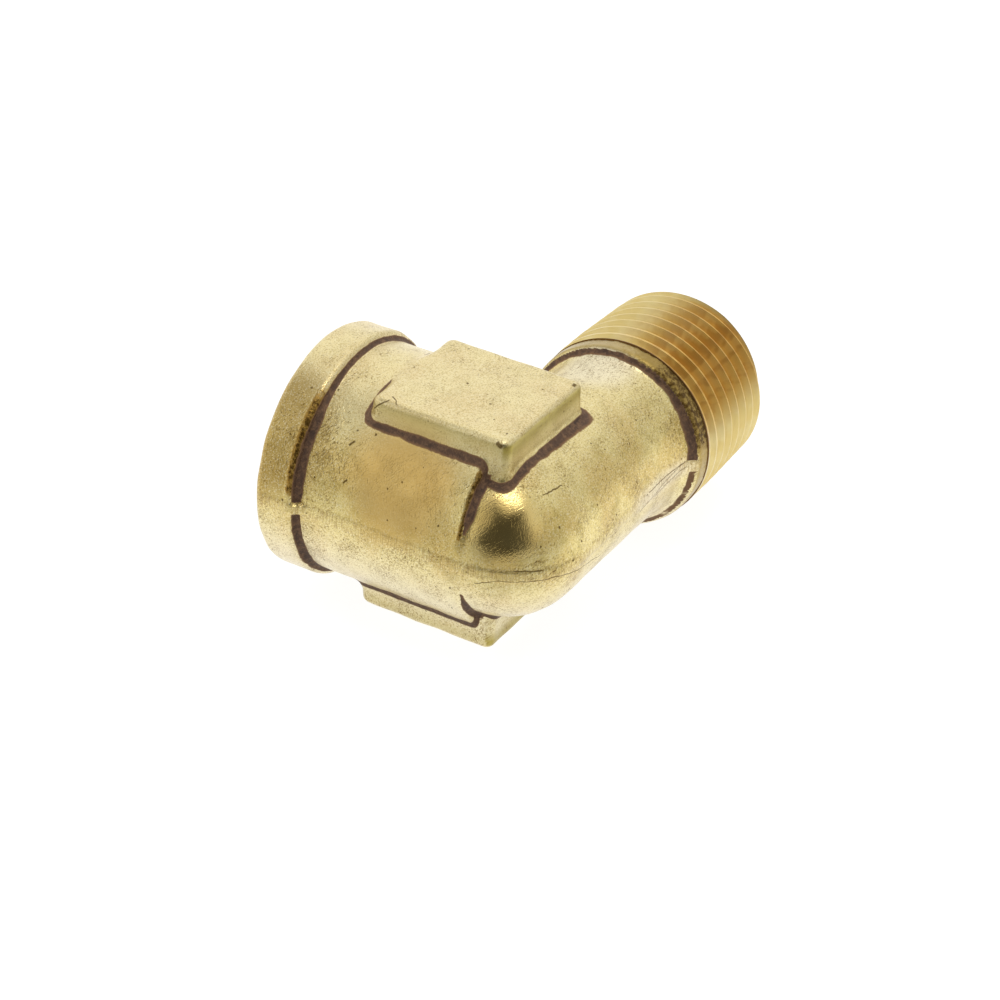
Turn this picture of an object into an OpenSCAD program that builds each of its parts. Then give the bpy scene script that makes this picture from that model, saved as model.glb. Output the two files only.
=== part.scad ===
// Street elbow: one forged and machined brass piece with a threaded socket and a threaded male leg.
// The origin is the crossing of the two axes: the male leg runs along +X, the socket along +Y.

/* [Reach] */
// From the crossing of the axes to the end of the male leg
male_reach = 34.6; // [33.5:0.1:38]
// From the crossing of the axes to the mouth of the socket
socket_reach = 24.4; // [24:0.1:28]

/* [Socket barrel] */
// Outside diameter of the barrel
barrel_d = 25.1; // [24.8:0.1:26.5]
// Distance from the crossing to the barrel's closed end
barrel_end = 0.6; // [0.4:0.1:1.2]
// How far the collar at the mouth stands out from the barrel
collar_step = 0.9; // [0.6:0.1:2]
// Length of the collar
collar_w = 4.5; // [3.5:0.1:6]

/* [Male leg] */
// Outside diameter of the leg and of its round heel
leg_d = 17.8; // [17.4:0.1:19]
// Outside diameter of the forged ring behind the thread
ring_d = 21.1; // [20.6:0.1:21.8]
// Length of the ring, from the corner of its fillet to the thread
ring_w = 1.6; // [1:0.1:3]

/* [Wrench pads] */
// Width of the flat pads, across the socket
pad_w = 15.4; // [13:0.1:17]
// From the crossing to the front of the upper pad, away from the mouth
pad_front = 1.7; // [1:0.1:2.5]
// The same for the lower pad, which the die left a little shorter
under_pad_front = 1; // [0.8:0.1:2.5]
// From the crossing to the back of the upper pad, towards the mouth
pad_back = 14.3; // [13:0.1:15.5]
// The same for the lower pad
under_pad_back = 14.9; // [13:0.1:15.5]
// How far the pads stand proud of the barrel's crown
pad_rise = 0.05; // [0.05:0.05:1]
// Draft of the pads' walls, so that the forging leaves the die
draft_angle = 2; // [1:0.5:4]

/* [Taper pipe thread] */
// Pitch of both threads: 14 turns to the inch
pitch = 1.814; // [1.6:0.002:2]
// Growth of the thread's diameter for each millimetre along it
taper = 0.0625; // [0.05:0.0005:0.07]
// Width of the flats at crest and root
thread_flat = 0.13; // [0.08:0.01:0.2]
// Diameter over the male thread's crests at its small end
male_thread_d = 20.72; // [20.5:0.02:21.2]
// Diameter that the leg is turned to before its thread is cut
blank_d = 21.3; // [21:0.1:21.9]
// Length of the male thread, from the end of the leg to the ring
male_thread_w = 14.1; // [12.5:0.1:14.6]
// From the end of the leg to the first whole crest
first_crest = 1.7; // [1:0.1:1.8]
// Diameter at the bottom of the socket's grooves, at its mouth
socket_thread_d = 21.22; // [21:0.02:21.6]
// Length of the thread in the socket
socket_thread_w = 13.6; // [11.5:0.1:14.5]

/* [Bores] */
// Diameter of the tapping drill in the socket
tap_drill_d = 18.26; // [17.8:0.02:18.6]
// How far the tapping drill runs past the thread in the socket
tap_drill_past = 4.4; // [2:0.1:5]
// Diameter of the waterway through the male leg
bore_d = 14; // [12.5:0.1:14.4]
// Diameter of the drilling that joins the socket to the waterway
throat_d = 14.6; // [14.5:0.1:15.6]
// How far both inner drillings run past the crossing before their points
past_crossing = 2; // [1.5:0.1:2.5]
// Full angle of the drills' points
drill_point = 118; // [110:1:140]

/* [Edges] */
// Rounding of the pads' upper edges
pad_edge_r = 0.7; // [0.4:0.1:1]
// Rounding of the pads' upright corners
pad_corner_r = 1; // [0.5:0.1:1.5]
// Rounding of the collar's edge at the mouth
mouth_edge_r = 0.7; // [0.3:0.1:1]
// Rounding of the collar's back edge
collar_edge_r = 0.3; // [0.2:0.1:0.5]
// Rounding of the barrel's closed end
barrel_edge_r = 0.5; // [0.3:0.1:0.8]
// Hollow fillet where the collar meets the barrel
collar_fillet_r = 0.5; // [0.2:0.1:0.5]
// Hollow fillet where the leg rises to the ring
ring_fillet_r = 3; // [2:0.1:4]
// Chamfer at the end of the male thread
thread_chamfer = 0.3; // [0.2:0.05:0.6]
// Chamfer at the mouth of the waterway
bore_chamfer = 0.4; // [0.2:0.05:0.6]
// How far the socket's countersink is wider than its thread
countersink = 0.5; // [0.2:0.1:1]

/* [Parting line] */
// Height of the band that the trimmed flash leaves around the forging
flash_h = 1.2; // [0.8:0.1:2]
// How far the band stands out
flash_proud = 0.1; // [0.05:0.05:0.2]
// How far the band bridges the hollow corner behind the collar
flash_bridge = 1.2; // [0.6:0.1:2]
// Radius of the trimmed web in the inner corner of the elbow
web_r = 2; // [1:0.1:4]

/* [Hidden] */
$fn = 96;

barrel_r = barrel_d / 2;
collar_r = barrel_r + collar_step;
collar_back = socket_reach - collar_w;
leg_r = leg_d / 2;
// The heel is a ball as thick as the leg, flush with the barrel's side at the parting line
heel_x = leg_r - barrel_r;
thread_back = male_reach - male_thread_w;
blank_r = blank_d / 2;
ring_r = ring_d / 2;
ring_x = thread_back - ring_w;
pad_top = barrel_r + pad_rise;
bore_r = bore_d / 2;
throat_r = throat_d / 2;
tap_drill_r = tap_drill_d / 2;
tap_drill_w = socket_thread_w + tap_drill_past;
// Both flanks of the thread lean 30 degrees, so its depth follows from its pitch and flats
flank_slope = tan(30);
thread_depth = (pitch - 2 * thread_flat) / 2 / flank_slope;
// Small overlap that keeps cuts and joined profiles clear of shared faces
clear = 0.1;

// Turns a profile drawn as radius and height about the leg's axis
module about_leg() {
    rotate([0, 90, 0]) rotate_extrude() children();
}

// Turns a profile drawn as radius and height about the socket's axis
module about_socket() {
    rotate([-90, 0, 0]) rotate_extrude() children();
}

// What a rounding takes off an outer corner at the origin, with the metal below and to the left
module corner_cut(r) {
    difference() {
        translate([-r, -r]) square(r + clear);
        translate([-r, -r]) circle(r);
    }
}

// What a hollow fillet adds in a square corner at the origin, above and to the right
module corner_fill(r) {
    difference() {
        translate([-clear, -clear]) square(r + clear);
        translate([r, r]) circle(r);
    }
}

// Radius over the male crests at a distance from the end of the leg
function crest_r(s) = (male_thread_d + s * taper) / 2;

// One turn of the male thread as profile points: the crest's flat, then the root's flat behind it
function male_turn(s) = [
    [crest_r(s), s - thread_flat / 2],
    [crest_r(s), s + thread_flat / 2],
    [crest_r(s + pitch / 2) - thread_depth, s + (pitch - thread_flat) / 2],
    [crest_r(s + pitch / 2) - thread_depth, s + (pitch + thread_flat) / 2]
];

// Male thread as turned rings of the true profile, measured from the end of the leg
module male_thread_profile() {
    turns = ceil(male_thread_w / pitch);
    starts = [for (k = [-1 : turns]) first_crest + k * pitch];
    rings = [for (s = starts) each male_turn(s)];
    difference() {
        intersection() {
            polygon(concat([[0, rings[0][1]]], rings, [[0, rings[len(rings) - 1][1]]]));
            square([blank_r, male_thread_w]);
        }
        translate([crest_r(0), 0]) rotate(45) square(thread_chamfer * sqrt(2), center = true);
    }
}

// Outline of the leg with its round heel, its fillet and its ring, standing out by a small amount
module leg_outline(proud) {
    translate([0, heel_x]) circle(leg_r + proud);
    intersection() {
        union() {
            translate([0, heel_x]) square([leg_r + proud, ring_x - heel_x]);
            translate([leg_r + proud, ring_x - proud]) mirror([0, 1]) corner_fill(ring_fillet_r - proud);
            translate([0, ring_x - proud]) square([ring_r + proud, ring_w + proud]);
        }
        translate([0, heel_x]) square([ring_r + proud, thread_back - heel_x]);
    }
}

// Half of that outline, ready to be turned about the leg's axis
module leg_profile() {
    intersection() {
        leg_outline(0);
        translate([0, heel_x - leg_r]) square([ring_r, thread_back - heel_x + leg_r]);
    }
}

// The barrel and its collar
module barrel_profile() {
    difference() {
        union() {
            translate([0, barrel_end]) square([barrel_r, socket_reach - barrel_end]);
            translate([0, collar_back]) square([collar_r, collar_w]);
            translate([barrel_r, collar_back]) mirror([0, 1]) corner_fill(collar_fillet_r);
        }
        translate([collar_r, socket_reach]) corner_cut(mouth_edge_r);
        translate([collar_r, collar_back]) mirror([0, 1]) corner_cut(collar_edge_r);
        translate([barrel_r, barrel_end]) mirror([0, 1]) corner_cut(barrel_edge_r);
    }
}

// Half section of a pad block: width w at the top, walls leaning out by the draft, rounded upper edges
module pad_section(w) {
    edge_x = w / 2 - pad_edge_r * (1 - sin(draft_angle)) / cos(draft_angle);
    edge_z = pad_top - pad_edge_r;
    wall_x = edge_x + pad_edge_r * cos(draft_angle);
    wall_z = edge_z + pad_edge_r * sin(draft_angle);
    foot_x = w / 2 + pad_top * tan(draft_angle);
    polygon([
        [-foot_x, 0],
        [foot_x, 0],
        [wall_x, wall_z],
        [edge_x, edge_z],
        [edge_x, pad_top],
        [-edge_x, pad_top],
        [-edge_x, edge_z],
        [-wall_x, wall_z]
    ]);
    for (side = [-1, 1]) {
        translate([side * edge_x, edge_z]) circle(pad_edge_r);
    }
}

// Plan of a pad with its rounded upright corners
module pad_plan(w, l) {
    square([w, l - 2 * pad_corner_r], center = true);
    square([w - 2 * pad_corner_r, l], center = true);
    for (x = [-1, 1], y = [-1, 1]) {
        translate([x * (w / 2 - pad_corner_r), y * (l / 2 - pad_corner_r)]) circle(pad_corner_r);
    }
}

// One pad, standing on the parting plane and running up to its flat top
module wrench_pad(front, back) {
    l = back + front;
    // The plan follows the walls at the height where the barrel's side meets them
    side_z = sqrt(pow(barrel_r, 2) - pow(pad_w / 2, 2));
    lean = 2 * (pad_top - side_z) * tan(draft_angle);
    translate([0, (back - front) / 2, 0]) {
        intersection() {
            rotate([90, 0, 0]) linear_extrude(2 * l, center = true) pad_section(pad_w);
            rotate([90, 0, 90]) linear_extrude(2 * pad_w, center = true) pad_section(l);
            linear_extrude(pad_top + clear) pad_plan(pad_w + lean, l + lean);
        }
    }
}

// Outline of the trimmed flash, seen from above
module flash_outline() {
    barrel_x = barrel_r + flash_proud;
    collar_x = collar_r + flash_proud;
    leg_y = leg_r + flash_proud;
    collar_top = socket_reach - mouth_edge_r;
    for (side = [0, 1]) {
        mirror([0, side]) mirror([1, -1]) leg_outline(flash_proud);
    }
    translate([-barrel_x, 0]) square([2 * barrel_x, collar_top]);
    translate([-collar_x, collar_back]) square([2 * collar_x, collar_top - collar_back]);
    for (side = [0, 1]) {
        mirror([side, 0]) polygon([
            [barrel_x - clear, collar_back - flash_bridge],
            [barrel_x, collar_back - flash_bridge],
            [collar_x, collar_back],
            [barrel_x - clear, collar_back]
        ]);
    }
    translate([barrel_x, leg_y]) corner_fill(web_r);
}

// The socket's hollow: countersink, tapping drill, thread grooves, drill point and throat
module socket_hollow_profile() {
    sink_r = socket_thread_d / 2 + countersink;
    sink_w = sink_r - tap_drill_r;
    point = tan(90 - drill_point / 2);
    turns = floor((socket_thread_w - sink_w) / pitch);
    throat_w = socket_reach + past_crossing;
    polygon([
        [0, -clear],
        [sink_r + clear, -clear],
        [tap_drill_r, sink_w],
        [tap_drill_r, tap_drill_w],
        [throat_r, tap_drill_w + (tap_drill_r - throat_r) * point],
        [throat_r, throat_w],
        [0, throat_w + throat_r * point]
    ]);
    for (k = [0 : turns]) {
        depth = sink_w + k * pitch;
        root_r = (socket_thread_d - depth * taper) / 2;
        half_w = thread_flat / 2 + (root_r - tap_drill_r + clear) * flank_slope;
        polygon([
            [tap_drill_r - clear, depth - half_w],
            [root_r, depth - thread_flat / 2],
            [root_r, depth + thread_flat / 2],
            [tap_drill_r - clear, depth + half_w]
        ]);
    }
}

// The waterway through the male leg, measured from the end of the leg
module waterway_profile() {
    run = male_reach + past_crossing;
    polygon([
        [0, -clear],
        [bore_r + bore_chamfer + clear, -clear],
        [bore_r, bore_chamfer],
        [bore_r, run],
        [0, run + bore_r * tan(90 - drill_point / 2)]
    ]);
}

module elbow_body() {
    color("#c8b36c") difference() {
        union() {
            about_leg() leg_profile();
            about_socket() barrel_profile();
            wrench_pad(pad_front, pad_back);
            mirror([0, 0, 1]) wrench_pad(under_pad_front, under_pad_back);
            linear_extrude(flash_h, center = true) flash_outline();
            translate([male_reach, 0, 0]) mirror([1, 0, 0]) about_leg() male_thread_profile();
        }
        translate([0, socket_reach, 0]) mirror([0, 1, 0]) about_socket() socket_hollow_profile();
        translate([male_reach, 0, 0]) mirror([1, 0, 0]) about_leg() waterway_profile();
    }
}

elbow_body();
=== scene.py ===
# Street elbow of forged brass. It is made here as the works make it: hot-forged blank, turned and
# threaded leg, drilled waterway, tapped socket. Sizes are in millimetres until a mesh is made.
import math

import bmesh
import bpy
import numpy as np
from mathutils import Matrix, Vector


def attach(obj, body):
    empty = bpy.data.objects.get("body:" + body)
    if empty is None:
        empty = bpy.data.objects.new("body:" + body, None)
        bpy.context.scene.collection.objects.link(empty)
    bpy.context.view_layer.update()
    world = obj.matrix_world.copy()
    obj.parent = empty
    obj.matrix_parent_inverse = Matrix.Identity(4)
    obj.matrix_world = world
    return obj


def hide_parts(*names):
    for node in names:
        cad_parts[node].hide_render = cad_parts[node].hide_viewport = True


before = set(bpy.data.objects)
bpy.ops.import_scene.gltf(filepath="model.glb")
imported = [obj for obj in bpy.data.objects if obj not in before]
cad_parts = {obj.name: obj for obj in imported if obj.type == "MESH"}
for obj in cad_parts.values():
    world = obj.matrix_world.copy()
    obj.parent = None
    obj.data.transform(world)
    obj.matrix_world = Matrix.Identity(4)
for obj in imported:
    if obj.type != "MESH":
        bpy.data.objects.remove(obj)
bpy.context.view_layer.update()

MM = 0.001

# Sizes of the CAD model, measured from the crossing of the two axes
MALE_REACH = 34.6
SOCKET_REACH = 24.4
BARREL_R = 12.55
BARREL_END = 0.6
COLLAR_R = 13.45
COLLAR_BACK = 19.9
LEG_R = 8.9
HEEL_X = LEG_R - BARREL_R
RING_R = 10.55
RING_X = 18.9
RING_SWELL = 0.9
SWELL_START = 12.0
FULL_LEAN = math.radians(10)
THREAD_BACK = 20.5
PAD_HALF = 7.7
PAD_TOP = BARREL_R + 0.05
PAD_SPAN = (-1.7, 14.3)
UNDER_PAD_SPAN = (-1.0, 14.9)
# Each pad's side, +1 above and -1 below, with the places where it starts and ends
PADS = ((1, PAD_SPAN), (-1, UNDER_PAD_SPAN))
DRAFT = math.tan(math.radians(2))
PITCH = 1.8143
TAPER = 1 / 32
CREST_R = 10.36
BLANK_R = 10.65
THREAD_FLAT = 0.13
FLANK = math.tan(math.radians(30))
THREAD_DEPTH = (PITCH - 2 * THREAD_FLAT) / 2 / FLANK
SOCKET_ROOT_R = 10.61
TAP_DRILL_R = 9.13
TAP_DRILL_END = 6.4
SOCKET_THREAD_W = 13.6
BORE_R = 7.0
THROAT_R = 7.3
PAST_CROSSING = 2.0
DRILL_POINT = math.tan(math.radians(31))
FLASH_HALF = 0.6
FLASH_PROUD = 0.1

# Roundings of the forging: hollow at the feet of pads and collar, wider where flash webs them,
# and rounded on the edges
FOOT_R = 0.8
FOOT_WEB_R = 1.6
COLLAR_FOOT_R = 0.6
COLLAR_WEB_R = 1.7
RING_FOOT_R = 3.0
RING_FOOT_LESS = 1.8
BARREL_EDGE_R = 0.5
PAD_EDGE_R = 0.75
PAD_CORNER_R = 1.0
COLLAR_EDGE_R = 0.55
MOUTH_EDGE_R = 0.7
RING_EDGE_R = 0.35
# Where the ring's fillet starts on the leg
RING_FROM = 14.2

# Waves in the skin, and their height
WAVES = 9
UNEVEN = 0.03

# Spacing of the points that the forged skin is made of
SKIN_STEP = 0.25
# Corners of a turned circle
ROUND = 128


# Finishes

def colour(code):
    """Linear colour from an sRGB hex value."""
    parts = [int(code[k:k + 2], 16) / 255 for k in (1, 3, 5)]
    parts = [c / 12.92 if c <= 0.04045 else ((c + 0.055) / 1.055) ** 2.4 for c in parts]
    return (*parts, 1.0)


# Sockets that share a name are given by number. In MapRange, 0 is the value, 1 and 2 are its range,
# and 3 and 4 the range that comes out. In Mix, 0 is the share, 2 and 3 are values, 6 and 7 colours.
def put(tree, kind, inputs=None, out=0, **settings):
    """Adds a node with its settings and gives its output. Inputs are values or other nodes' outputs."""
    made = tree.nodes.new("ShaderNode" + kind)
    for name, value in settings.items():
        setattr(made, name, value)
    for key, value in (inputs or {}).items():
        if isinstance(value, bpy.types.NodeSocket):
            tree.links.new(value, made.inputs[key])
        else:
            made.inputs[key].default_value = value
    return made.outputs[out] if made.outputs else made


def blank_material(name):
    made = bpy.data.materials.new(name)
    made.use_nodes = True
    made.node_tree.nodes.clear()
    return made, made.node_tree


def patterns(tree, table):
    """Noise, each with the size of its lumps in millimetres, detail, roughness, stretch and tilt."""
    place = put(tree, "TexCoord", out="Object")
    found = {}
    for name, size, detail, rough, stretch, tilt in table:
        # A mapping turns what it has scaled, so the place is tilted before that
        tilted = place
        if tilt:
            angles = [math.radians(a) for a in tilt]
            tilted = put(tree, "Mapping", {"Vector": place, "Rotation": angles})
        apart = 7.3 * len(found)
        laid = put(tree, "Mapping", {
            "Vector": tilted,
            "Location": (apart, -apart, apart),
            "Scale": [1 / (size * MM * k) for k in stretch],
        })
        found[name] = put(tree, "TexNoise", {
            "Vector": laid, "Scale": 1, "Detail": detail, "Roughness": rough,
        })
    return found


def most(tree, *values):
    """The highest of some values."""
    best = values[0]
    for value in values[1:]:
        best = put(tree, "Math", {0: best, 1: value}, operation="MAXIMUM")
    return best


def product(tree, *values):
    """All values times each other."""
    total = values[0]
    for value in values[1:]:
        total = put(tree, "Math", {0: total, 1: value}, operation="MULTIPLY")
    return total


def plus(tree, *terms):
    """Sum of values, each with its factor."""
    total = 0.0
    for value, factor in terms:
        total = put(tree, "Math", {0: value, 1: factor, 2: total}, operation="MULTIPLY_ADD")
    return total


def shares(tree, table):
    """Shares from 0 to 1 of values that rise or fall from one level to another."""
    return {name: put(tree, "MapRange", {0: value, 1: low, 2: high}, interpolation_type="SMOOTHSTEP")
            for name, value, low, high in table}


def painted(tree, tint, layers):
    """Colours laid over each other. Each covers by its strength times its shares."""
    for code, strength, *covers in layers:
        part = product(tree, *covers, strength)
        tint = put(tree, "Mix", {0: part, 6: tint, 7: colour(code)}, out=2, data_type="RGBA")
    return tint


# Marks that the photograph shows: start, end, width and how far the line wanders, in millimetres
MARKS = (
    ((-12.34, -1.47, -1.24), (-11.73, -3.95, -0.38), 0.07, 0.2),
    ((-11.73, -3.95, -0.38), (-9.94, -6.36, -0.55), 0.08, 0.2),
    ((-9.94, -6.36, -0.55), (-7.9, -8.0, -0.5), 0.10, 0.2),
    ((-7.9, -8.0, -0.5), (-4.0, -8.9, -1.2), 0.08, 0.2),
    ((-4.0, -8.9, -1.2), (0.6, -8.6, -2.2), 0.06, 0.2),
    ((-10.9, -5.1, 0.81), (-9.06, -7.15, 0.58), 0.08, 0.2),
    ((10.3, -8.99, 0.44), (17.24, -9.23, 0.66), 0.07, 0.1),
    ((11.88, -8.86, -0.86), (17.62, -9.57, 0.06), 0.06, 0.1),
    ((8.65, -8.83, -1.12), (17.47, -9.34, 0.72), 0.06, 0.1),
    ((-5.86, -4.98, 7.04), (-3.13, -5.6, 6.91), 0.10, 0.3),
    ((-7.75, -0.95, 12.1), (-7.6, -0.4, 12.3), 0.30, 0.1),
    ((6.2, -1.25, 12.5), (6.6, -1.2, 12.5), 0.28, 0.1),
    ((-7.64, 13.77, 11.42), (-7.15, 12.46, 12.56), 0.10, 0.1),
    ((-6.47, 12.42, 12.6), (-7.28, 11.43, 12.52), 0.10, 0.2),
    ((-9.9, 15.25, 7.7), (-9.6, 14.85, 8.1), 0.16, 0.1),
    ((-11.8, 14.7, 4.4), (-11.6, 14.35, 4.7), 0.15, 0.1),
)


def near(tree, mm, centre, reach, soft):
    """1 around a point, fading out at a distance."""
    offset = put(tree, "VectorMath", {0: mm, 1: centre}, operation="SUBTRACT")
    away = put(tree, "VectorMath", {0: offset, 1: offset}, out="Value", operation="DOT_PRODUCT")
    return put(tree, "MapRange", {
        0: away, 1: (reach + soft) ** 2, 2: (reach - soft) ** 2,
    }, interpolation_type="SMOOTHSTEP")


def mark_lines(tree, mm, wander):
    """Share of the surface that the marks cover."""
    found = 0.0
    for start, end, width, stray in MARKS:
        start, end = Vector(start), Vector(end)
        middle = (start + end) / 2
        run = (end - start).normalized()
        out = Vector(outward(*middle)).normalized()
        across = run.cross(out).normalized()
        half = (end - start).length / 2
        from_middle = put(tree, "VectorMath", {0: mm, 1: middle}, operation="SUBTRACT")
        off, along, depth = (
            put(tree, "VectorMath", {0: from_middle, 1: way}, out="Value", operation="DOT_PRODUCT")
            for way in (across, run, out)
        )
        off = plus(tree, (off, 1.0), (wander, stray * 2))
        cover = shares(tree, (
            ("side", put(tree, "Math", {0: off}, operation="ABSOLUTE"), width, width * 0.4),
            ("length", put(tree, "Math", {0: along}, operation="ABSOLUTE"), half + 0.15, half),
            # A mark doesn't reach through the metal to the far side
            ("depth", depth, -2.2, -1.6),
        ))
        found = most(tree, product(tree, *cover.values()), found)
    return found


# Places with a finish, painted highlight or painted shade of their own: middle, reach and softness of
# the edge in millimetres
SPOTS = {
    # Rubbed smooth by handling, on the middle of the barrel
    "rubbed": ((-11.2, 8.5, 6.5), 5.3, 2.8),
    # Burnished by the dies' last blow, on the heel
    "crown": ((-9.9, -3.2, 4.7), 3.3, 1.3),
    # Painted shade, on the collar's -X side
    "shaded": ((-11.2, 24.0, 7.0), 6.4, 2.2),
    # Painted highlights, on top of the leg and along its flash
    "painted_highlight_leg": ((16.8, 1.5, 9.0), 3.0, 2.4),
    "painted_highlight_flash": ((13.0, -9.3, -0.3), 4.5, 3.0),
}


def forged_brass():
    """Forging brass, tumbled with grit: pale straw, satin, peppered with fine pits and scratches."""
    made, tree = blank_material("forged_brass")
    place = put(tree, "TexCoord", out="Object")
    mm = put(tree, "VectorMath", {0: place, "Scale": 1 / MM}, operation="SCALE")
    x, z = (put(tree, "SeparateXYZ", {0: mm}, out=axis) for axis in "XZ")
    hollow, burnt, wall, rim_reflection = (
        put(tree, "Attribute", out="Fac", attribute_name=name)
        for name in ("hollow", "burnt", "wall", "rim_reflection")
    )
    # The finest strokes and grains are near 0.1 mm, which is as fine as shows
    noise = patterns(tree, (
        ("drift", 6.0, 2, 0.5, (1, 1, 1), None),
        ("mottle", 1.7, 4, 0.6, (1, 1, 1), None),
        ("crowd", 3.0, 3, 0.6, (1, 1, 1), None),
        ("grain", 0.16, 1, 0.5, (1, 1, 1), None),
        ("strokes_x", 0.13, 1, 0.5, (6, 1, 1.5), (15, 25, 35)),
        ("strokes_y", 0.13, 1, 0.5, (1.5, 6, 1), (30, 15, -25)),
        ("strokes_z", 0.13, 1, 0.5, (1, 1.5, 6), (25, -30, 10)),
        ("trim_lines", 0.13, 1, 0.5, (1, 1, 12), None),
        ("wander", 0.9, 1, 0.5, (1, 1, 1), None),
        ("oil", 0.5, 3, 0.7, (1, 1, 1), None),
        ("ragged", 1.3, 3, 0.55, (1, 1, 1), None),
        ("crust", 0.7, 4, 0.75, (1, 1, 1), None),
    ))

    spot = {name: near(tree, mm, *place) for name, place in SPOTS.items()}
    smooth = most(tree, product(tree, spot["rubbed"], 0.8), spot["crown"])
    rough = put(tree, "Math", {0: 1.0, 1: smooth}, operation="SUBTRACT")

    # Strokes of the grit run three ways and crowd together in places
    strokes = most(tree, noise["strokes_x"], noise["strokes_y"], noise["strokes_z"])
    # Painted light: the top paler, and the underside paler towards the bottom
    cover = shares(tree, (
        ("painted_light_top", z, 5.0, 11.5),
        ("painted_light_below", z, 1.5, -7.0),
    ))
    crowded = plus(tree, (strokes, 1.0), (noise["crowd"], 0.42), (cover["painted_light_top"], -0.05))
    # Pits lie at the middles of cells of 1.25 mm, and only where crust and mottle leave them room
    cells = put(tree, "TexVoronoi", {"Vector": mm, "Scale": 0.8}, out="Distance")
    pitted = plus(tree, (cells, 1.0), (noise["crust"], 0.3), (noise["mottle"], -0.5))
    from_parting = put(tree, "Math", {0: z}, operation="ABSOLUTE")
    cover.update(shares(tree, (
        ("tan", noise["drift"], 0.4, 0.62),
        ("olive", noise["mottle"], 0.48, 0.68),
        ("dark_grain", noise["grain"], 0.5, 0.3),
        ("light_grain", noise["grain"], 0.52, 0.7),
        ("faint", crowded, 0.8, 0.96),
        ("deep", crowded, 0.96, 1.04),
        ("pits", pitted, -0.02, -0.08),
        ("trimmed", from_parting, FLASH_HALF + 0.4, FLASH_HALF),
        ("by_flash", from_parting, 2.0, 0.2),
        ("trim_line", noise["trim_lines"], 0.45, 0.65),
        ("land", x, RING_X - 0.3, RING_X),
    )))
    wander = put(tree, "Math", {0: noise["wander"], 1: 0.5}, operation="SUBTRACT")
    marks = mark_lines(tree, mm, wander)
    deep = most(tree, product(tree, cover["deep"], rough), cover["pits"], marks)

    # The ring's land kept a dull olive skin, browner and nearly black where the die's oil burnt on
    sooty = plus(tree, (burnt, 0.75), (noise["oil"], 0.9))
    # Painted dark reflection along the rims of collar and barrel, brown with golden glints
    rimmed = plus(tree, (rim_reflection, 0.75), (noise["oil"], 0.9))
    # Furnace scale stays in the hollow corners. It is thin and brown at its ragged edge
    ragged = plus(tree, (hollow, 1.0), (noise["ragged"], 0.36))
    cover.update(shares(tree, (
        ("brown", sooty, 0.62, 0.95),
        ("soot", sooty, 1.05, 1.3),
        ("rim_reflection", rimmed, 0.8, 1.1),
        ("rim_reflection_deep", rimmed, 1.12, 1.28),
        ("edge", ragged, 1.0, 0.9),
        ("core", ragged, 0.92, 0.72),
        ("crust", noise["crust"], 0.42, 0.66),
    )))
    loose = put(tree, "Math", {0: rough, 1: wall}, operation="SUBTRACT")
    tint = painted(tree, colour("#EAD78F"), (
        ("#D8BA6A", 0.7, cover["tan"]),
        ("#C6B263", 0.5, cover["olive"]),
        # Painted light on the top and on the underside
        ("#F4E5BA", 0.5, cover["painted_light_top"]),
        ("#F5EBCC", 0.65, cover["painted_light_below"]),
        # Painted highlights on the leg and along its flash
        ("#FAF2DC", 0.6, spot["painted_highlight_leg"]),
        ("#FAF2DC", 0.6, spot["painted_highlight_flash"], cover["by_flash"]),
        ("#D9B971", 0.6, spot["crown"]),
        ("#DAB569", 0.85, spot["rubbed"]),
        # Painted shade on the collar
        ("#B8994F", 0.8, spot["shaded"]),
        # The pads' walls kept a greener skin, because the tumbling stones don't reach it. Their
        # darkening, strongest on the front walls and near the top, is painted shade
        ("#B0A052", 0.7, wall),
        ("#AA904A", 0.42, cover["dark_grain"], rough),
        ("#F7EEC9", 0.45, cover["light_grain"], loose),
        ("#927029", 0.55, cover["faint"], rough),
        ("#A98950", 0.5, cover["trimmed"], cover["trim_line"], rough),
        ("#5C4216", 0.8, deep),
        ("#A58A3E", 0.75, cover["land"]),
        ("#A3884A", 0.85, cover["brown"]),
        ("#4F3717", 0.9, cover["soot"]),
        # Painted dark reflection along the rims
        ("#A07A34", 0.85, cover["rim_reflection"]),
        ("#4A3415", 0.85, cover["rim_reflection_deep"]),
        ("#96724E", 1.0, cover["edge"]),
        ("#69503F", 1.0, cover["core"]),
        ("#4B3B33", 0.6, cover["core"], cover["olive"]),
        ("#9A7757", 0.7, cover["core"], cover["crust"]),
    ))

    scaled = cover["edge"]
    dull = most(tree, scaled, product(tree, most(tree, deep, cover["soot"]), 0.6))
    gloss = put(tree, "MapRange", {0: noise["mottle"], 1: 0.3, 2: 0.7, 3: 0.3, 4: 0.42})
    for share, level in ((spot["crown"], 0.18), (dull, 0.62)):
        gloss = put(tree, "Mix", {0: share, 2: gloss, 3: level})
    metal = put(tree, "MapRange", {0: scaled, 3: 1.0, 4: 0.45})
    uncoated = most(tree, scaled, cover["brown"], deep, smooth, cover["rim_reflection"])
    coat = put(tree, "MapRange", {0: uncoated, 3: 0.3, 4: 0.0})
    height = plus(
        tree, (noise["mottle"], 0.8), (noise["grain"], 0.7), (cover["faint"], -0.5),
        (product(tree, most(tree, burnt, rim_reflection), noise["oil"]), 3.0),
        (product(tree, cover["edge"], noise["crust"]), 1.0),
    )
    relief = put(tree, "Bump", {
        "Strength": put(tree, "MapRange", {0: smooth, 3: 1.0, 4: 0.3}),
        "Distance": 0.04 * MM,
        "Height": height,
    })
    shader = put(tree, "BsdfPrincipled", {
        "Base Color": tint, "Metallic": metal, "Roughness": gloss, "Normal": relief,
        "Coat Weight": coat, "Coat Roughness": 0.25,
    })
    put(tree, "OutputMaterial", {"Surface": shader})
    return made


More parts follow.
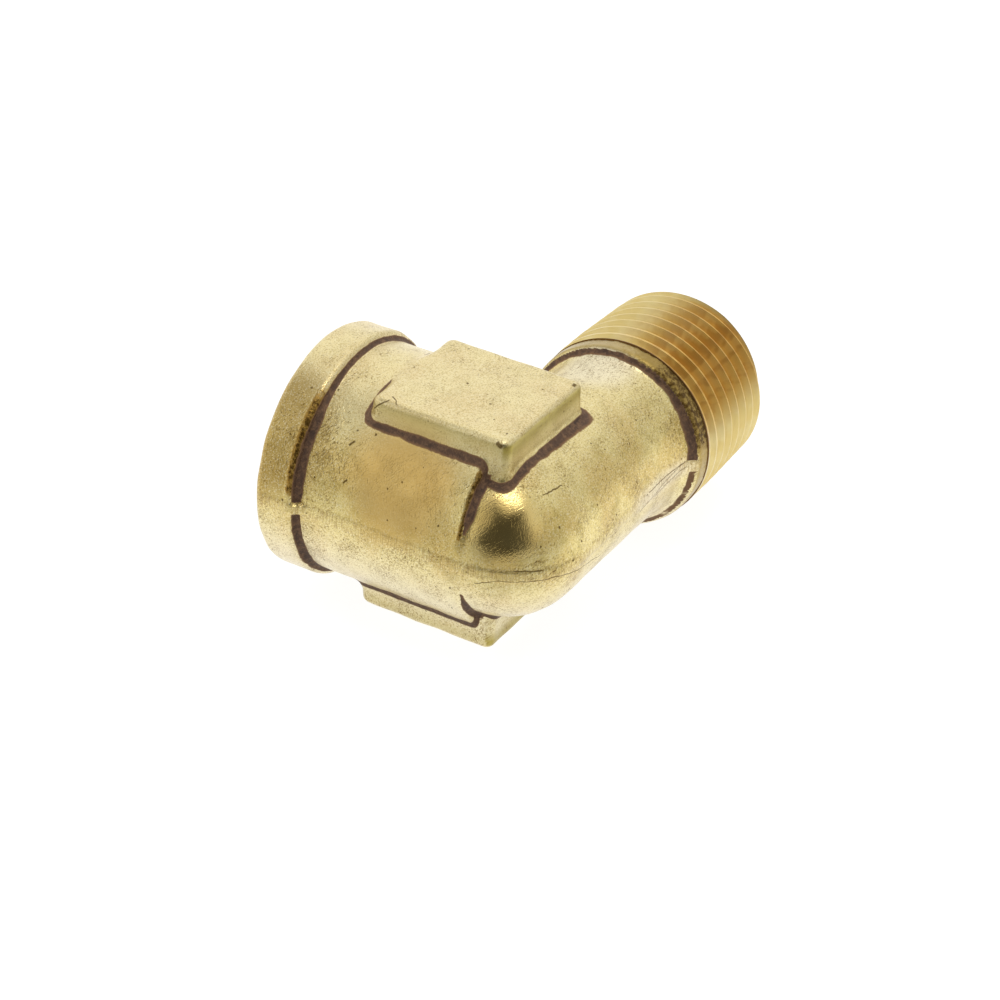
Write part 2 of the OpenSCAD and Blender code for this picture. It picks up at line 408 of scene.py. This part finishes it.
def cut_brass():
    """The same brass, fresh from die and drill: bright straw gold, with fine lines round it."""
    made, tree = blank_material("cut_brass")
    place = put(tree, "TexCoord", out="Object")
    x = put(tree, "SeparateXYZ", {0: place}, out="X")
    burnt = put(tree, "Attribute", out="Fac", attribute_name="burnt")
    # Tool lines run round the axis. Smears of burnt oil run along it, over several turns
    noise = patterns(tree, (
        ("lines", 0.12, 2, 0.5, (1, 16, 16), None),
        ("smear", 1.4, 2, 0.45, (20, 1, 1), None),
        ("stain", 2.5, 2, 0.5, (3, 1, 1), None),
    ))
    cover = shares(tree, (
        ("tan", noise["stain"], 0.35, 0.65),
        ("smear", noise["smear"], 0.42, 0.6),
        ("start", x, (THREAD_BACK + 0.16) * MM, (THREAD_BACK + 0.06) * MM),
    ))
    tint = painted(tree, colour("#ECD897"), (
        ("#E5CB7B", 0.7, cover["tan"]),
        ("#EAB443", 0.7, burnt),
        ("#BB8028", 0.5, burnt, cover["smear"]),
        ("#77541F", 1.0, cover["start"]),
    ))
    gloss = put(tree, "MapRange", {0: noise["lines"], 1: 0.3, 2: 0.7, 3: 0.36, 4: 0.48})
    # The film of oil scatters light, and lets less of the metal's mirror through
    metal = put(tree, "MapRange", {0: burnt, 3: 0.85, 4: 0.55})
    coat = put(tree, "MapRange", {0: most(tree, cover["start"], burnt), 3: 0.6, 4: 0.2})
    relief = put(tree, "Bump", {"Strength": 0.4, "Distance": 0.012 * MM, "Height": noise["lines"]})
    shader = put(tree, "BsdfPrincipled", {
        "Base Color": tint, "Metallic": metal, "Roughness": gloss, "Normal": relief,
        "Coat Weight": coat, "Coat Roughness": 0.25,
    })
    put(tree, "OutputMaterial", {"Surface": shader})
    return made


# Forged blank: distances to its surface, negative inside the metal

def ramp(value, low, high):
    """0 at one level of a value and 1 at the other, straight between them."""
    return np.clip((value - low) / (high - low), 0, 1)


def hollow_join(a, b, r):
    """Metal of both, with a hollow fillet in the corner between them."""
    return np.maximum(r, np.minimum(a, b)) - np.hypot(np.maximum(r - a, 0), np.maximum(r - b, 0))


def round_edge(a, b, r):
    """Metal that both share, with the edge between them rounded."""
    return np.minimum(-r, np.maximum(a, b)) + np.hypot(np.maximum(a + r, 0), np.maximum(b + r, 0))


def barrel(x, y, z):
    side = np.hypot(x, z) - BARREL_R
    return round_edge(side, BARREL_END - y, BARREL_EDGE_R)


def upper_side(y, z):
    """1 on the side of the leg that the dies left full, falling to 0 on the far side."""
    across = np.maximum(np.hypot(y, z), 0.01)
    return 0.5 + 0.5 * (z * math.cos(FULL_LEAN) - y * math.sin(FULL_LEAN)) / across


def leg(x, y, z):
    # The leg swells a little into the ring, more on the upper side than below
    swell = RING_SWELL * ramp(x, SWELL_START, RING_X) ** 2
    swell = swell * (0.35 + 0.65 * upper_side(y, z))
    return np.hypot(np.hypot(y, z), np.minimum(x - HEEL_X, 0)) - LEG_R - swell


def pad_wall(x, y, z, span):
    """Distance from a pad's four drafted walls in plan, with rounded upright corners."""
    lean = (PAD_TOP - np.abs(z)) * DRAFT
    half_l = (span[1] - span[0]) / 2
    dx = np.abs(x) - (PAD_HALF + lean - PAD_CORNER_R)
    dy = np.abs(y - (span[0] + half_l)) - (half_l + lean - PAD_CORNER_R)
    past = np.hypot(np.maximum(dx, 0), np.maximum(dy, 0))
    return np.minimum(np.maximum(dx, dy), 0) + past - PAD_CORNER_R


def unevenness(x, y, z):
    """The gentle waviness that dies and tumbling leave, a few hundredths of a millimetre."""
    chance = np.random.default_rng(5)
    shortest, longest = 2.5, 8.0
    total = 0.0
    for wave in range(WAVES):
        way = chance.normal(size=3)
        way = way / np.linalg.norm(way) * 2 * math.pi / chance.uniform(shortest, longest)
        total = total + np.sin(x * way[0] + y * way[1] + z * way[2] + chance.uniform(0, 6.28))
    return total * UNEVEN / math.sqrt(WAVES)


def forging(x, y, z, foot=FOOT_R, collar_foot=COLLAR_FOOT_R):
    """The whole blank. The hollow fillets at the feet of pads and collar can be set."""
    core = hollow_join(barrel(x, y, z), leg(x, y, z), foot)
    for side, span in PADS:
        block = round_edge(pad_wall(x, y, z, span), side * z - PAD_TOP, PAD_EDGE_R)
        block = np.maximum(block, -side * z)
        core = hollow_join(core, block, foot)
    # The fillets stay under the pads' flats and inside the barrel's side
    core = np.maximum(core, np.abs(z) - PAD_TOP)
    core = np.maximum(core, -x - BARREL_R - 0.02)
    collar = hollow_join(core, COLLAR_BACK - y, collar_foot)
    collar = round_edge(collar, np.hypot(x, z) - COLLAR_R, COLLAR_EDGE_R)
    core = np.minimum(core, collar)
    core = round_edge(core, y - SOCKET_REACH, MOUTH_EDGE_R)
    ring = hollow_join(core, RING_X - x, RING_FOOT_R - RING_FOOT_LESS * upper_side(y, z))
    ring = round_edge(ring, np.hypot(y, z) - RING_R, RING_EDGE_R)
    ring = np.maximum(ring, x - THREAD_BACK)
    leg_only = np.maximum(core, x - THREAD_BACK)
    return np.where(x > RING_FROM, np.minimum(leg_only, ring), core) + unevenness(x, y, z)


def blank(x, y, z):
    """The forging with the band that the trimmed flash leaves along the parting plane."""
    body = forging(x, y, z)
    webbed = forging(x, y, z, FOOT_WEB_R, COLLAR_WEB_R)
    # It stands proud on the heel, and is tumbled nearly flush elsewhere
    proud = FLASH_PROUD * np.where((y > 2) | (x > 3), 0.5, 1)
    band = np.maximum(webbed - proud, np.abs(z) - FLASH_HALF)
    band = np.maximum(band, y - SOCKET_REACH + MOUTH_EDGE_R)
    band = np.maximum(band, x - THREAD_BACK)
    return np.minimum(body, band)


def outward(x, y, z):
    """Direction out of the metal near a point."""
    here = forging(x, y, z)
    tiny = 0.05
    steps = ((tiny, 0, 0), (0, tiny, 0), (0, 0, tiny))
    return [float(forging(x + dx, y + dy, z + dz) - here) for dx, dy, dz in steps]


# The elbow's two finishes, and each one's place in the list
FINISHES = (forged_brass(), cut_brass())
FORGED, MACHINED = 0, 1


def skin_mesh(distance, low, high, step):
    """Points and quads on the surface where the distance is nought, one point to each crossed cell."""
    axes = [np.arange(a, b + step, step) for a, b in zip(low, high)]
    depth = distance(*np.meshgrid(*axes, indexing="ij"))
    inside = depth < 0
    cells = tuple(n - 1 for n in depth.shape)
    total = np.zeros(cells + (3,))
    count = np.zeros(cells, int)
    crossings = []
    for axis in range(3):
        before = tuple(slice(0, -1) if k == axis else slice(None) for k in range(3))
        after = tuple(slice(1, None) if k == axis else slice(None) for k in range(3))
        hit = np.argwhere(inside[before] != inside[after])
        here = tuple(hit.T)
        share = depth[before][here] / (depth[before][here] - depth[after][here])
        point = np.stack([axes[k][hit[:, k]] for k in range(3)], 1)
        point[:, axis] += share * step
        crossings.append((axis, hit, inside[before][here]))
        a, b = [k for k in range(3) if k != axis]
        for da in (0, -1):
            for db in (0, -1):
                cell = hit.copy()
                cell[:, a] += da
                cell[:, b] += db
                fit = np.all((cell >= 0) & (cell < cells), axis=1)
                spot = tuple(cell[fit].T)
                np.add.at(total, spot, point[fit])
                np.add.at(count, spot, 1)
    used = np.argwhere(count > 0)
    number = np.full(cells, -1)
    number[tuple(used.T)] = np.arange(len(used))
    points = total[tuple(used.T)] / count[tuple(used.T)][:, None]
    quads = []
    for axis, hit, leaves_metal in crossings:
        a, b = [k for k in range(3) if k != axis]
        corners = []
        for da, db in ((-1, -1), (0, -1), (0, 0), (-1, 0)):
            cell = hit.copy()
            cell[:, a] += da
            cell[:, b] += db
            corners.append(number[tuple(cell.T)])
        quad = np.stack(corners, 1)
        forward = leaves_metal if axis != 1 else ~leaves_metal
        quads.append(np.where(forward[:, None], quad, quad[:, ::-1]))
    return points, np.concatenate(quads)


def settle(points, quads, distance, rounds=4):
    """Evens out the points along the surface and draws each one back onto it."""
    pairs = np.concatenate([quads[:, [k, (k + 1) % 4]] for k in range(4)])
    pairs = np.concatenate([pairs, pairs[:, ::-1]])
    neighbours = np.bincount(pairs[:, 0], minlength=len(points))[:, None]
    tiny = 0.01
    furthest = 0.3
    for number in range(rounds):
        # The last two rounds only draw the points back
        if number < rounds - 2:
            mean = np.zeros_like(points)
            np.add.at(mean, pairs[:, 0], points[pairs[:, 1]])
            points = points + 0.5 * (mean / neighbours - points)
        here = distance(*points.T)
        slope = np.stack([
            distance(*(points + tiny * np.eye(3)[k]).T) - here for k in range(3)
        ], 1) / tiny
        steep = np.maximum((slope ** 2).sum(1), 0.25)[:, None]
        points = points - np.clip(here[:, None], -furthest, furthest) * slope / steep
    return points


def new_object(name, points, faces, finish):
    mesh = bpy.data.meshes.new(name)
    mesh.from_pydata([tuple(p) for p in points], [], [tuple(f) for f in faces])
    for paint in FINISHES:
        mesh.materials.append(paint)
    mesh.polygons.foreach_set("material_index", [finish] * len(mesh.polygons))
    mesh.polygons.foreach_set("use_smooth", [True] * len(mesh.polygons))
    made = bpy.data.objects.new(name, mesh)
    bpy.context.collection.objects.link(made)
    return made


# Turned, drilled and threaded shapes

# Turned shapes are drawn from their open end inwards, the leg's along -X and the socket's along -Y
FROM_END = Matrix(((0, 0, -1, MALE_REACH), (1, 0, 0, 0), (0, -1, 0, 0), (0, 0, 0, 1)))
FROM_MOUTH = Matrix(((1, 0, 0, 0), (0, 0, -1, SOCKET_REACH), (0, 1, 0, 0), (0, 0, 0, 1)))
# First crest of the male thread, from the end of the leg on its +Y side
CREST_START = 0.352
# How far from the ring the thread starts to get shallow
DIE_LEAD = 1.2


def turned(name, profile, place):
    """A solid turned from (radius, distance along the axis) pairs, from one end to the other."""
    points = []
    faces = []
    for r, s in profile:
        for k in range(ROUND):
            angle = 2 * math.pi * k / ROUND
            points.append(place @ Vector((r * math.cos(angle), r * math.sin(angle), s)))
    for row in range(len(profile) - 1):
        for k in range(ROUND):
            a, b = row * ROUND + k, row * ROUND + (k + 1) % ROUND
            faces.append((a, b, b + ROUND, a + ROUND))
    return closed(new_object(name, points, faces, MACHINED))


def threaded(name, length, radius, phases, start, place):
    """A solid whose surface follows a right-hand helix. Its radius depends on distance and phase."""
    turns = math.ceil(length / PITCH) + 2
    rows = [k + p for k in range(-2, turns) for p in phases]
    points = []
    faces = []
    for row in rows:
        for k in range(ROUND):
            s = min(max(start + (row + k / ROUND) * PITCH, 0), length)
            phase = ((s - start) / PITCH - k / ROUND) % 1
            angle = 2 * math.pi * k / ROUND
            r = radius(s, phase)
            points.append(place @ Vector((r * math.cos(angle), r * math.sin(angle), s)))
    last = len(rows) - 1
    for row in range(last):
        for k in range(ROUND):
            a = row * ROUND + k
            b = a + 1
            c = a + ROUND + 1
            # After a whole round the helix has come one turn further
            if k == ROUND - 1:
                b = min(row + len(phases), last) * ROUND
                c = min(row + len(phases) + 1, last) * ROUND
            faces.append((a, b, c, a + ROUND))
    return closed(new_object(name, points, faces, MACHINED))


def closed(made):
    """Joins doubled points, caps open ends and turns the faces outward."""
    work = bmesh.new()
    work.from_mesh(made.data)
    bmesh.ops.remove_doubles(work, verts=work.verts, dist=1e-5)
    bmesh.ops.dissolve_degenerate(work, edges=work.edges, dist=1e-6)
    rims = [e for e in work.edges if e.is_boundary]
    if rims:
        bmesh.ops.holes_fill(work, edges=rims, sides=0)
    bmesh.ops.recalc_face_normals(work, faces=work.faces)
    for face in work.faces:
        face.material_index = MACHINED
        face.smooth = True
    work.to_mesh(made.data)
    work.free()
    return made


def cut(target, tool, operation):
    step = target.modifiers.new(operation.lower(), "BOOLEAN")
    step.operation = operation
    step.object = tool
    step.solver = "MANIFOLD"
    bpy.context.view_layer.update()
    graph = bpy.context.evaluated_depsgraph_get()
    result = bpy.data.meshes.new_from_object(target.evaluated_get(graph), depsgraph=graph)
    target.modifiers.clear()
    target.data = result
    bpy.data.objects.remove(tool)
    return target


def male_radius(s, phase):
    """Male thread, measured from the end of the leg. Its crests lie at phase nought."""
    crest = CREST_R + s * TAPER
    away = min(phase, 1 - phase) * PITCH - THREAD_FLAT / 2
    depth = min(max(away, 0) / FLANK, THREAD_DEPTH)
    # The die's lead leaves the last turn at the ring shallow
    fade = min(max((MALE_REACH - THREAD_BACK - s) / DIE_LEAD, 0.25), 1)
    return crest - depth * fade


def tap_radius(s, phase):
    """The tap that cuts the socket, measured from the mouth."""
    root = SOCKET_ROOT_R - s * TAPER
    away = min(phase, 1 - phase) * PITCH - THREAD_FLAT / 2
    depth = max(away, 0) / FLANK
    # The tap's lead makes its last two turns shallower and shallower
    lead = 2 * PITCH
    fade = max(s - (SOCKET_THREAD_W - lead), 0) / lead * THREAD_DEPTH
    return max(root - depth - fade, TAP_DRILL_R - 0.3)


def elbow_mesh():
    # The skin is looked for in a room a little larger than the blank
    low, high = (-14.1, -11.2, -14.1), (21.1, 25.1, 14.1)
    points, quads = skin_mesh(blank, low, high, SKIN_STEP)
    points = settle(points, quads, blank)
    body = new_object("street_elbow", points, quads, FORGED)

    # The leg is turned down to the thread's blank, then threaded from its end
    thread_w = MALE_REACH - THREAD_BACK
    chamfer = 0.3
    into_ring = 0.3
    leg_blank = turned("leg_blank", [
        (0, 0),
        (CREST_R - chamfer, 0),
        (CREST_R + chamfer / 2, 1.5 * chamfer),
        (BLANK_R, 1.5 * chamfer + 0.2),
        (BLANK_R, thread_w),
        (RING_R - 0.6, thread_w + into_ring),
        (0, thread_w + into_ring),
    ], FROM_END)
    # Phases of one turn where the surface has corners: crest, flank, root and flank
    flat = THREAD_FLAT / 2 / PITCH
    phases = (0, flat, 0.18, 0.34, 0.5 - flat, 0.5 + flat, 0.66, 0.82, 1 - flat)
    thread = threaded("male_thread", thread_w + 1, male_radius, phases, CREST_START, FROM_END)
    leg_end = cut(leg_blank, thread, "INTERSECT")
    cut(body, leg_end, "UNION")

    # Waterway, drilled from the end of the leg past the crossing
    run = MALE_REACH + PAST_CROSSING
    bevel = 0.4
    cut(body, turned("leg_drill", [
        (0, -1),
        (BORE_R + bevel + 1, -1),
        (BORE_R, bevel),
        (BORE_R, run),
        (0, run + BORE_R * DRILL_POINT),
    ], FROM_END), "DIFFERENCE")

    # Socket: countersunk, drilled for the tap, and drilled on to the bend
    sink = SOCKET_ROOT_R + 0.5
    depth = SOCKET_REACH - TAP_DRILL_END
    throat = SOCKET_REACH + PAST_CROSSING
    cut(body, turned("socket_drill", [
        (0, -1),
        (sink + 1, -1),
        (TAP_DRILL_R, sink - TAP_DRILL_R),
        (TAP_DRILL_R, depth),
        (THROAT_R, depth + (TAP_DRILL_R - THROAT_R) * DRILL_POINT),
        (THROAT_R, throat),
        (0, throat + THROAT_R * DRILL_POINT),
    ], FROM_MOUTH), "DIFFERENCE")
    phases = (0, flat, 0.1, 0.2, 0.3, 0.4, 0.5, 0.6, 0.7, 0.8, 0.9, 1 - flat)
    tap = threaded("tap", SOCKET_THREAD_W, tap_radius, phases, 0.5, FROM_MOUTH)
    cut(body, tap, "DIFFERENCE")
    return body


# Where scale, soot, the pads' greener skin, painted reflection and painted shade sit on the skin

# A distance in millimetres at which no scale is left
FAR = 9


def around_leg(y, z):
    """Degrees round the leg's axis, nought on its inner side and 90 on top."""
    return np.degrees(np.arctan2(z, y))


def hollow_depth(x, y, z):
    """Distance in millimetres from the nearest hollow corner where furnace scale is left."""
    plain_barrel = barrel(x, y, z)
    plain_leg = leg(x, y, z)
    body = np.minimum(plain_barrel, plain_leg)

    # The line between heel and barrel thins out where the barrel's step runs out
    inset = BARREL_R - np.hypot(x, z)
    heel = np.maximum(plain_leg, plain_barrel)
    thinner = 0.35 * ramp(inset, 0.5, 0.1) + 1.5 * ramp(inset, 0.07, 0.02)
    away = np.where(x < 10, heel + thinner, heel)

    for side, span in PADS:
        # Scale climbs the pads' walls less than it spreads on the barrel
        front = ramp(y, span[0] + 1.2, span[0] - 1.2)
        back = ramp(y, span[1] - 0.5, span[1] + 0.3)
        spread = 1.2 - front * (0.42 + 0.028 * x) - 0.4 * back + 0.2 * ramp(y, 3, 12)
        climb = 2 - 1.1 * front * (side < 0)
        foot = np.maximum(np.abs(pad_wall(x, y, z, span)) * spread, body * climb)
        # It fades out where the barrel comes up to the pad's flat
        step = PAD_TOP - side * z
        foot = foot + 0.25 * ramp(step, 1.0, 0.5) + 1.5 * ramp(step, 0.35, 0.15)
        away = np.minimum(away, np.where(side * z < 2, FAR, foot))

    # The collar's scale thins out towards the top and the bottom
    above = np.degrees(np.arctan2(np.abs(z), np.abs(x)))
    thinner = 0.95 + 0.9 * ramp(above, 45, 75) + 0.3 * (z < 0)
    climb = 1.1 + 0.5 * ramp(above, 35, 65)
    collar = np.maximum(np.abs(plain_barrel) * climb, (COLLAR_BACK - y) * thinner)
    collar = np.maximum(collar, 0.45 * ramp(above, 55, 70))
    by_collar = (y > 15) & (y <= COLLAR_BACK + 0.3)
    away = np.minimum(away, np.where(by_collar, collar, FAR))

    wide = 1 - 0.3 * ramp(around_leg(y, z), 125, 150)
    ring = (RING_X - x) * (0.65 + 0.45 * upper_side(y, z)) * wide
    ring = np.maximum(ring, 0) + FAR * ramp(np.hypot(y, z), RING_R - 0.25, RING_R - 0.05)
    # Below the parting plane the ring's scale is only a thin brown film
    film = 0.72
    ring = np.where(z < 0, np.maximum(ring, film), ring)
    away = np.minimum(away, np.where(x > 14, ring, FAR))

    # The flash was trimmed after the scale had formed
    return away + 1.2 * ramp(np.abs(z), FLASH_HALF + 0.1, FLASH_HALF - 0.1)


def burnt_side(x, y, z):
    """1 on the upper front of the ring and thread, where oil burnt on while the leg was hot."""
    around = around_leg(y, z)
    # The burnt patch ends sooner and softer on the thread than on the ring
    on_thread = ramp(around, 76, 116) * ramp(around, 170, 152)
    on_ring = ramp(around, 80, 120) * ramp(around, 174, 168)
    patch = np.where(x > THREAD_BACK, on_thread, on_ring)
    return patch * (x > RING_X - 0.4) * (x < MALE_REACH - 0.3)


def painted_rim_reflection(x, y, z):
    """1 on the edges of collar and barrel, above the parting plane, for a painted dark reflection."""
    around = np.degrees(np.arctan2(z, -x))
    radius = np.hypot(x, z)
    stretch = ramp(around, 3, 9) * ramp(around, 66, 50)
    collar = ramp(np.abs(y - COLLAR_BACK - 0.3), 0.7, 0.4) * (radius > COLLAR_R - 0.5)
    front = ramp(y, BARREL_END + 0.7, BARREL_END + 0.2) * ramp(radius, BARREL_R - 0.7, BARREL_R - 0.5)
    front = front * ramp(around, 9, 15) * (x < 0)
    clear = (leg(x, y, z) > 0.2) & (pad_wall(x, y, z, PAD_SPAN) > 0.5)
    return stretch * np.maximum(collar, front * clear)


def pad_wall_skin_and_shade(x, y, z):
    """1 on the pads' drafted walls, more on the front ones and near the top: greener skin and painted
    shade.
    """
    found = 0.0
    for side, span in PADS:
        up = side * z
        wall = ramp(np.abs(pad_wall(x, y, z, span)), 0.35, 0.2) * (up > 6)
        wall = wall * ramp(up, PAD_TOP - 0.25, PAD_TOP - 0.55)
        wall = wall * np.maximum(ramp(up, 9.6, 11.6), 0.3)
        found = found + wall * np.where(y < span[0] + 0.5, 1.5, 0.7)
    return found


def points_of(made):
    flat = np.empty(len(made.data.vertices) * 3)
    made.data.vertices.foreach_get("co", flat)
    return flat.reshape(-1, 3)


def note_on_points(made, name, rule):
    """Keeps a value at each point, for the finishes to read."""
    layer = made.data.attributes.new(name, "FLOAT", "POINT")
    layer.data.foreach_set("value", rule(*points_of(made).T).astype(np.float32))


elbow = elbow_mesh()
note_on_points(elbow, "hollow", hollow_depth)
note_on_points(elbow, "burnt", burnt_side)
note_on_points(elbow, "wall", pad_wall_skin_and_shade)
note_on_points(elbow, "rim_reflection", painted_rim_reflection)
elbow.data.transform(Matrix.Scale(MM, 4))
elbow.data.set_sharp_from_angle(angle=math.radians(32))
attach(elbow, "root")
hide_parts("elbow_body")


# Floor, light and camera

# The elbow rests on its collar, the corner of its lower pad and the end of its thread
FEET = [Vector(p) for p in (
    (0, COLLAR_BACK + 1, -COLLAR_R), (7.0, -0.5, -PAD_TOP), (34.3, 0, -CREST_R),
)]
upright = (FEET[1] - FEET[0]).cross(FEET[2] - FEET[0]).normalized()
if upright.z < 0:
    upright.negate()

# Direction of the tent's opening, turned from +X towards +Y
OPENING = -160


def toward(azimuth, elevation):
    """Direction, with azimuth turned from +X towards +Y."""
    a, e = math.radians(azimuth), math.radians(elevation)
    return Vector((math.cos(a) * math.cos(e), math.sin(a) * math.cos(e), math.sin(e)))


def table_top():
    """White table. It keeps the soft shadow under the elbow."""
    half = 2.5
    gap = 0.05 * MM
    mesh = bpy.data.meshes.new("table_top")
    corners = [(-half, -half, 0), (half, -half, 0), (half, half, 0), (-half, half, 0)]
    mesh.from_pydata(corners, [], [(0, 1, 2, 3)])
    made = bpy.data.objects.new("table_top", mesh)
    bpy.context.collection.objects.link(made)
    made.location = FEET[0] * MM - upright * gap
    made.rotation_mode = "QUATERNION"
    made.rotation_quaternion = Vector((0, 0, 1)).rotation_difference(upright)
    paint, tree = blank_material("white_table")
    # Less light falls on the table under the photographer, which the brass mirrors
    place = put(tree, "TexCoord", out="Object")
    way = toward(OPENING + 8, 0)
    nearer = put(tree, "VectorMath", {0: place, 1: way}, out="Value", operation="DOT_PRODUCT")
    dim = put(tree, "MapRange", {
        0: nearer, 1: 0.018, 2: 0.05, 3: 0.97, 4: 0.44,
    }, interpolation_type="SMOOTHSTEP")
    by_gloss = product(tree, put(tree, "LightPath", out="Is Glossy Ray"), dim)
    shown = plus(tree, (put(tree, "LightPath", out="Is Camera Ray"), 0.9), (by_gloss, 1.0))
    matt = put(tree, "BsdfDiffuse", {"Color": colour("#8C8C8C")})
    glow = put(tree, "Emission", {"Color": colour("#FFFFFF"), "Strength": shown})
    put(tree, "OutputMaterial", {"Surface": put(tree, "AddShader", {0: matt, 1: glow})})
    mesh.materials.append(paint)


def light_tent():
    """White tent round the table, open on the photographer's side, where the room behind is dim."""
    world = bpy.data.worlds.new("light_tent")
    bpy.context.scene.world = world
    world.use_nodes = True
    tree = world.node_tree
    tree.nodes.clear()
    way = put(tree, "TexCoord", out="Generated")
    ahead, sideways, upward = (
        put(tree, "VectorMath", {0: way, 1: axis}, out="Value", operation="DOT_PRODUCT")
        for axis in (toward(OPENING, 0), toward(OPENING + 90, 0), (0, 0, 1))
    )
    turn = put(tree, "Math", {0: sideways, 1: ahead}, operation="ARCTAN2")
    aside = put(tree, "Math", {0: turn}, operation="ABSOLUTE")
    height = put(tree, "Math", {0: upward}, operation="ARCSINE")
    edges = (
        ("over_table", height, -8, 3),
        ("under_roof", height, 68, 50),
        ("open_left", turn, -51, -21),
        ("open_right", turn, 54, 26),
        # The walls beside the photographer get less light than the one behind the elbow
        ("right_start", turn, 30, 70),
        ("right_end", turn, 175, 120),
        ("left_start", turn, -40, -70),
        ("left_end", turn, -135, -110),
        ("high", height, 32, 50),
        ("back", aside, 125, 150),
        ("not_left", turn, -70, -20),
        ("up_from_table", height, 20, 6),
    )
    cover = shares(tree, [
        (name, value, math.radians(low), math.radians(high)) for name, value, low, high in edges
    ])
    opening = product(
        tree, cover["over_table"], cover["under_roof"], cover["open_left"], cover["open_right"],
    )
    right = product(tree, cover["right_start"], cover["right_end"])
    left = product(tree, cover["left_start"], cover["left_end"], cover["high"])
    wall = plus(
        tree, (1.0, 0.99), (cover["back"], 0.05), (right, -0.2), (left, -0.5),
        (product(tree, cover["up_from_table"], cover["not_left"]), -0.36),
    )
    inside = put(tree, "Mix", {0: opening, 2: wall, 3: 0.08})
    seen = put(tree, "LightPath", out="Is Camera Ray")
    strength = put(tree, "Mix", {0: seen, 2: inside, 3: 1.0})
    glow = put(tree, "Background", {"Color": colour("#FFFFFF"), "Strength": strength})
    put(tree, "OutputWorld", {"Surface": glow})


def soft_lamp(name, azimuth, elevation, away, size, watts):
    """Round lamp that looks at the middle of the elbow."""
    lamp = bpy.data.lights.new(name, "AREA")
    lamp.shape = "DISK"
    lamp.size = size
    lamp.energy = watts
    made = bpy.data.objects.new(name, lamp)
    bpy.context.collection.objects.link(made)
    middle = Vector((10, 6, 0)) * MM
    made.location = middle + toward(azimuth, elevation) * away
    made.rotation_mode = "QUATERNION"
    made.rotation_quaternion = (middle - made.location).to_track_quat("-Z", "Y")


def photo_camera():
    """The viewpoint of the photograph, found by fitting the outlines and the thread's crests."""
    azimuth, elevation, roll = (math.radians(a) for a in (-61.263, 32.353, 3.505))
    left, raised, distance = 2.593, 1.322, 286.705
    back = Vector((
        math.sin(azimuth) * math.cos(elevation),
        -math.cos(azimuth) * math.cos(elevation),
        math.sin(elevation),
    ))
    right = Vector((math.cos(azimuth), math.sin(azimuth), 0))
    up = back.cross(right)
    level = right * math.cos(roll) + up * math.sin(roll)
    above = up * math.cos(roll) - right * math.sin(roll)
    lens = bpy.data.cameras.new("photo_camera")
    lens.sensor_width = 36.0
    lens.lens = 100.68
    lens.clip_start = 0.01
    lens.clip_end = 10.0
    made = bpy.data.objects.new("photo_camera", lens)
    bpy.context.collection.objects.link(made)
    turned_by = Matrix((level, above, back)).transposed().to_4x4()
    stands = (-level * left + above * raised + back * distance) * MM
    made.matrix_world = Matrix.Translation(stands) @ turned_by
    bpy.context.scene.camera = made


table_top()
light_tent()
soft_lamp("overhead_lamp", azimuth=-158, elevation=78, away=0.6, size=0.18, watts=0.42)
photo_camera()
bpy.context.scene.view_settings.view_transform = "Standard"
